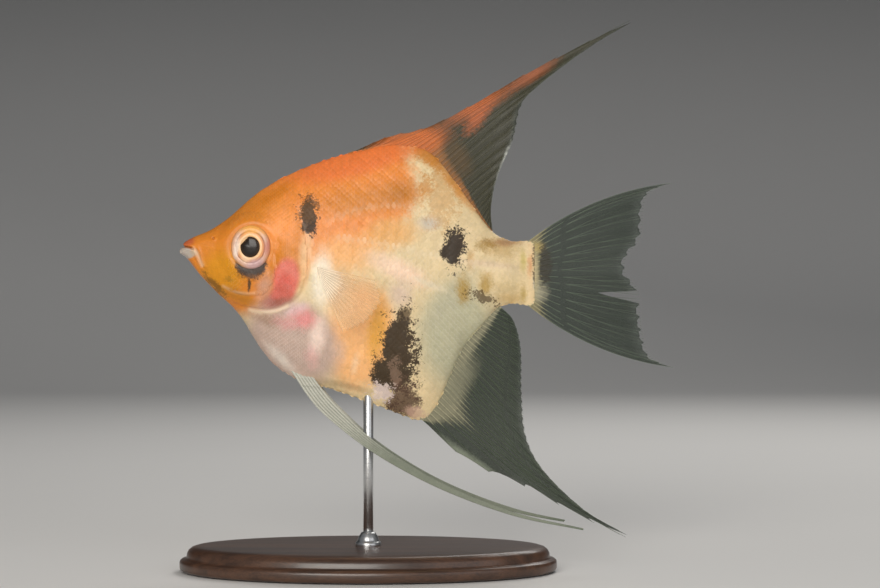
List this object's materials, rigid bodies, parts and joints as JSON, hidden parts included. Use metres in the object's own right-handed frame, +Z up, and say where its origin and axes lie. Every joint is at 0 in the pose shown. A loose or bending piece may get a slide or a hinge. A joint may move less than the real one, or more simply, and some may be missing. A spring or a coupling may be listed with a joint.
{
  "type": "freshwater angelfish display model",
  "caption": "Life-size still model of a freshwater angelfish with swept fins and long feelers, held by a rod on an oval display base.",
  "frame": {"origin": "on the floor, under the middle of the model's bounding box", "axes": "+Z up, from the stand's underside through the fish's back; +X towards the fish's tail, so the fish faces -X; +Y towards the fish's right flank"},
  "size_m": [0.0996, 0.044, 0.1114],
  "materials": {
    "skin_orange": "scaled skin, satin with a wet sheen, orange with white, red and black patches",
    "skin_pale": "scaled skin, satin with a wet sheen, cream with golden patches",
    "lip_white": "smooth skin, satin, white at the lip and orange behind",
    "gill_red": "smooth translucent skin over red gills, satin",
    "eye": "gloss, silver and cream iris round a black pupil",
    "fin_dorsal": "translucent membrane between rays, orange-red in front and smoky behind",
    "fin_smoky": "translucent smoky grey-green membrane between pale rays",
    "fin_clear": "clear membrane between fine rays",
    "fin_white": "milky white membrane, silvery at the leading edge",
    "stand_wood": "dark stained wood, satin varnish",
    "stand_steel": "brushed"
  },
  "bodies": {
    "root": {"head": "skin_orange", "lower_jaw": "lip_white", "gill_cover_left": "gill_red", "gill_cover_right": "gill_red", "trunk": "skin_orange", "tail_stalk": "skin_pale", "eye_left": "eye", "eye_right": "eye", "dorsal_fin": "fin_dorsal", "anal_fin": "fin_smoky", "caudal_fin": "fin_smoky", "pectoral_fin_left": "fin_clear", "pectoral_fin_right": "fin_clear", "pelvic_fin_left": "fin_white", "pelvic_fin_right": "fin_white", "stand_base": "stand_wood", "stand_collar": "stand_steel", "stand_rod": "stand_steel"}
  },
  "joints": []
}
